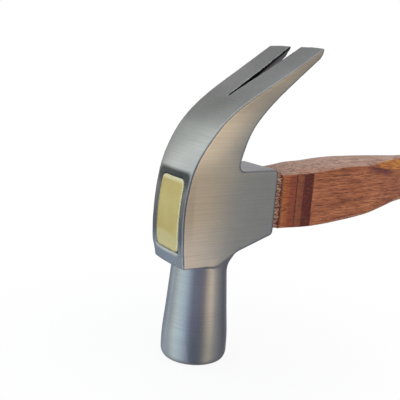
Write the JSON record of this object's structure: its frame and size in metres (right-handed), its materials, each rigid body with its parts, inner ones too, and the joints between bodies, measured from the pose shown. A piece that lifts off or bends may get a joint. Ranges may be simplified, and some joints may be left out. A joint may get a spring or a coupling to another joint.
{
  "type": "claw hammer",
  "caption": "Curved-claw carpenter's hammer: satin forged steel head with resin-capped eye on a shaped hardwood handle.",
  "frame": {"origin": "centre of the striking face", "axes": "+Z runs from the striking face up the bell towards the claws, +X runs from the head along the handle to the butt, and Y is the width of the head, which is symmetric about Y = 0"},
  "size_m": [0.3307, 0.0352, 0.1318],
  "materials": {
    "forged_steel": "satin, fine brush lines",
    "handle_wood": "sawn and sanded near the head, varnished on the grip",
    "wedge_wood": "bare",
    "wedge_steel": "dull, as rolled",
    "eye_resin": "cast, semi-gloss"
  },
  "bodies": {
    "root": {"hammer_head": "forged_steel", "handle": "handle_wood", "wooden_wedge": "wedge_wood", "cross_wedge_upper": "wedge_steel", "cross_wedge_lower": "wedge_steel", "eye_resin": "eye_resin"}
  },
  "joints": []
}
